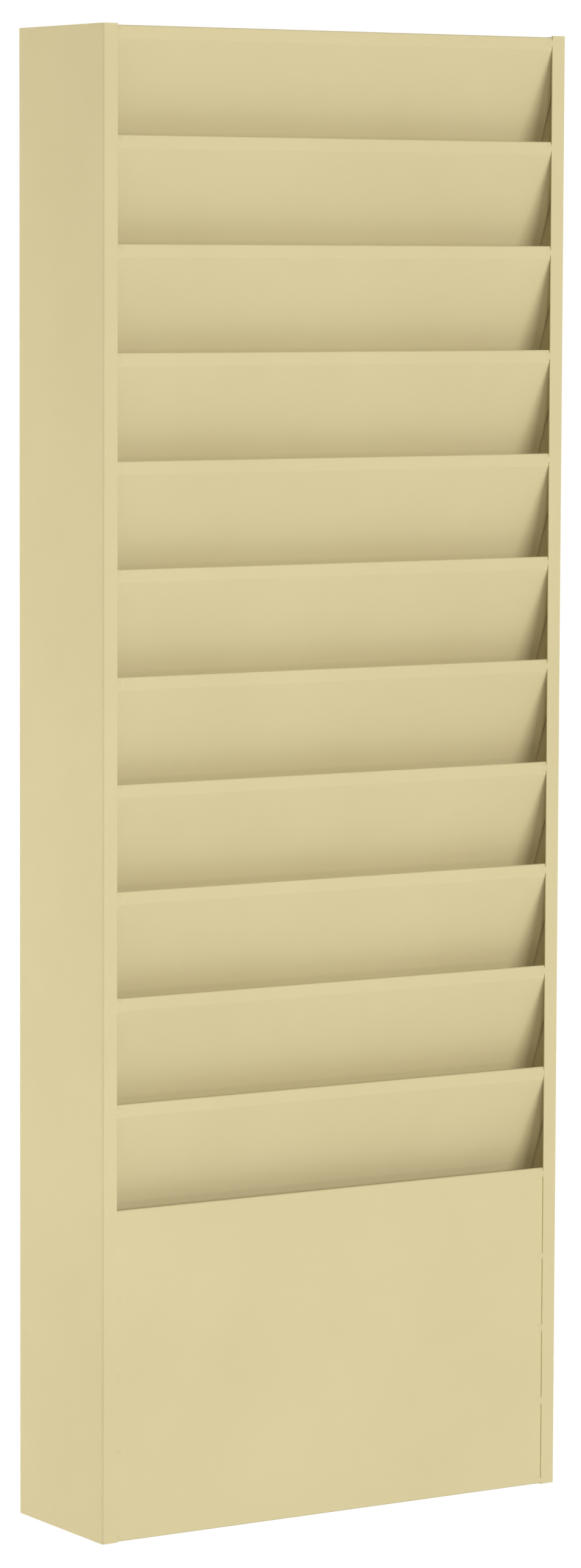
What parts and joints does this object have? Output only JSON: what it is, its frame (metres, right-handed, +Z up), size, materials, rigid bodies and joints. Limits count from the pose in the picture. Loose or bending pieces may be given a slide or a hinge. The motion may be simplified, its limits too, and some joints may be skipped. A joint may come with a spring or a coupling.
{
  "type": "hanging file folder rack",
  "caption": "Wall-hung folded-steel file rack with a column of forward-sloping pockets between channel sides, a closed lower front and a keyholed back.",
  "frame": {"origin": "centre of the four keyholes on the back, which is the middle of the face that lies on the wall", "axes": "+X to the right as seen from the front, +Z up, and the front faces -Y"},
  "size_m": [0.3334, 0.1028, 0.9144],
  "materials": {
    "powder_coat": "satin putty powder coat"
  },
  "bodies": {
    "root": {"left_side_channel": "powder_coat", "right_side_channel": "powder_coat", "back_panel": "powder_coat", "lower_front_panel": "powder_coat", "pocket_divider_01": "powder_coat", "pocket_divider_02": "powder_coat", "pocket_divider_03": "powder_coat", "pocket_divider_04": "powder_coat", "pocket_divider_05": "powder_coat", "pocket_divider_06": "powder_coat", "pocket_divider_07": "powder_coat", "pocket_divider_08": "powder_coat", "pocket_divider_09": "powder_coat", "pocket_divider_10": "powder_coat", "pocket_divider_11": "powder_coat"}
  },
  "joints": []
}
